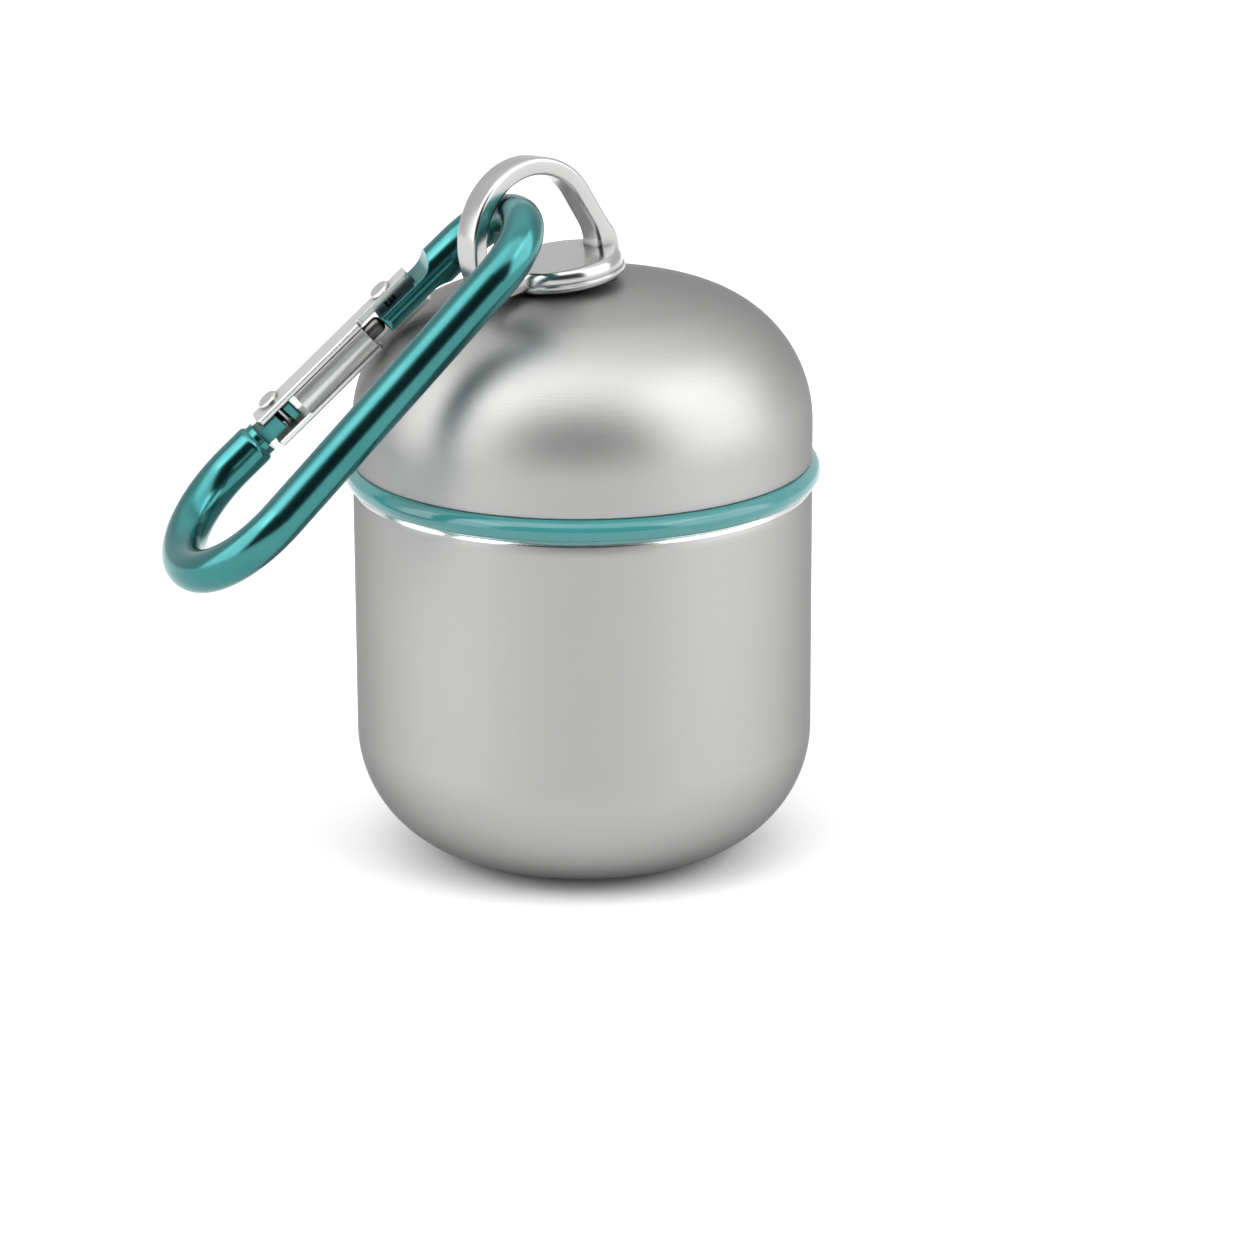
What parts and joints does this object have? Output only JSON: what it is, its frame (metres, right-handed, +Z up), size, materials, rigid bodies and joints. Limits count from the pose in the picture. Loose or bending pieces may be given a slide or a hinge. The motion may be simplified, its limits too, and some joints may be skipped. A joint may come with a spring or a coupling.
{
  "type": "earplug case",
  "caption": "Small screw-top metal capsule case with a rubber sealing ring, a swivel eye on the lid and a spring-gate carabiner through it.",
  "frame": {"origin": "centre of the flat face that the case stands on, on the case's axis", "axes": "+Z up along the case's axis, -Y the front, the carabiner hangs over the -X side"},
  "size_m": [0.0494, 0.039, 0.0548],
  "materials": {
    "case": "fine bead-blasted satin",
    "seal": "smooth glossy",
    "eye": "polished",
    "washer": "plain",
    "hook": "glossy anodised",
    "gate": "polished",
    "pin": "bright",
    "plunger": "dark satin",
    "spring": "drawn wire"
  },
  "bodies": {
    "base": {"base_cup": "case", "seal_ring": "seal"},
    "lid": {"lid_dome": "case"},
    "eye": {"swivel_eye": "eye", "eye_washer": "washer"},
    "hook": {"carabiner_hook": "hook"},
    "gate": {"gate_bar": "gate", "gate_pivot": "pin", "gate_latch_pin": "pin", "gate_spring": "spring"},
    "plunger": {"gate_plunger": "plunger"}
  },
  "joints": [
    {"name": "lid_lift", "type": "slide", "parent": "base", "child": "lid", "axis": [0, 0, 1], "range_m": [0, 0.02]},
    {"name": "eye_swivel", "type": "hinge", "parent": "lid", "child": "eye", "pos_m": [-0.00106, -0.00119, 0.04513], "axis": [-0.121, -0.0441, 0.9917], "continuous": true},
    {"name": "hook_swing", "type": "hinge", "parent": "eye", "child": "hook", "pos_m": [-0.00792, -0.00696, 0.04771], "axis": [-0.1762, 0.9843, 0], "range_deg": [0, 42]},
    {"name": "gate_open", "type": "hinge", "parent": "hook", "child": "gate", "pos_m": [-0.01405, -0.00304, 0.04353], "axis": [-0.6473, -0.2413, 0.723], "range_deg": [0, 33], "stiffness_Nm_per_rad": 0.004, "springref_deg": -20.05, "deforming": ["gate_spring"]},
    {"name": "plunger_slide", "type": "slide", "parent": "gate", "child": "plunger", "axis": [-0.7172, -0.1284, -0.6849], "range_m": [0, 0.0012]}
  ],
  "couplings": [
    {"joint": "plunger_slide", "follows": "gate_open", "m_per_rad": 0.0017762}
  ]
}
